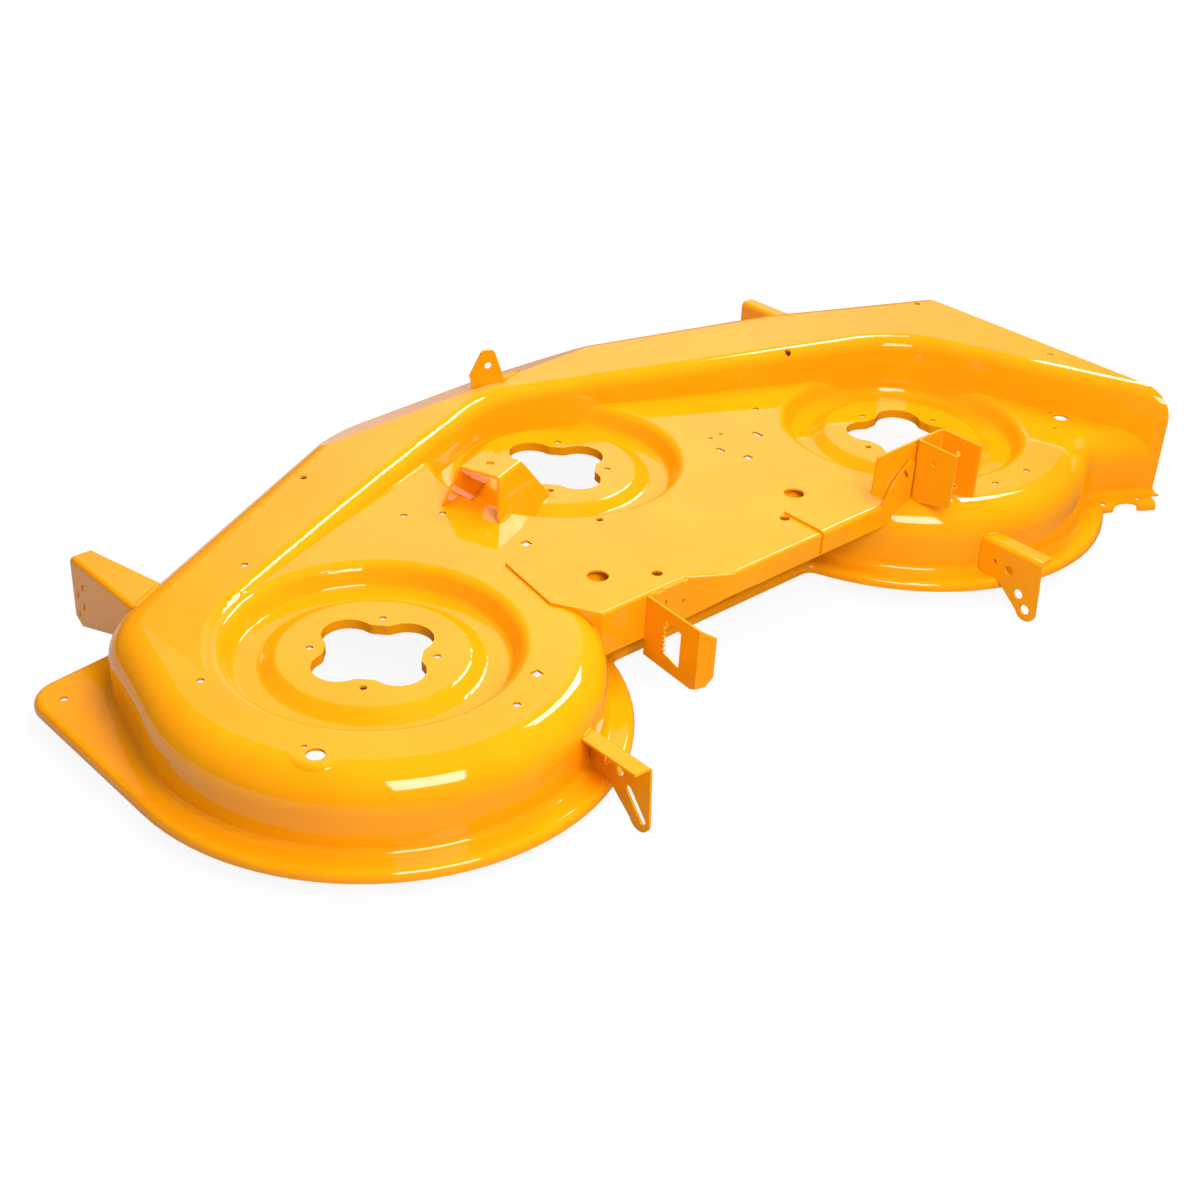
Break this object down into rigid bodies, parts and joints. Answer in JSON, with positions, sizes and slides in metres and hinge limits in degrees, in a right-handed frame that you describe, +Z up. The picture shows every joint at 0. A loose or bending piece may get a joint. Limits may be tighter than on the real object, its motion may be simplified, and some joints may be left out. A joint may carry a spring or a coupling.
{
  "type": "lawn mower deck",
  "caption": "Drawn steel deck shell of a ride-on mower with blade bowls, spindle seats, side discharge and welded hanger and lift brackets, painted yellow.",
  "frame": {"origin": "middle spindle axis at the top face of its seat", "axes": "+X towards the discharge end, +Y towards the front, +Z up along the spindle axes"},
  "size_m": [1.4575, 0.824, 0.206],
  "materials": {
    "deck_paint": "gloss"
  },
  "bodies": {
    "root": {"deck_shell": "deck_paint", "rear_centre_plate": "deck_paint", "rear_right_plate": "deck_paint", "left_rear_hanger": "deck_paint", "right_rear_hanger": "deck_paint", "height_rack_bracket": "deck_paint", "idler_bracket": "deck_paint", "upright_channel": "deck_paint", "upright_gusset": "deck_paint", "front_left_bracket": "deck_paint", "front_right_bracket": "deck_paint", "front_lift_tab": "deck_paint"}
  },
  "joints": []
}
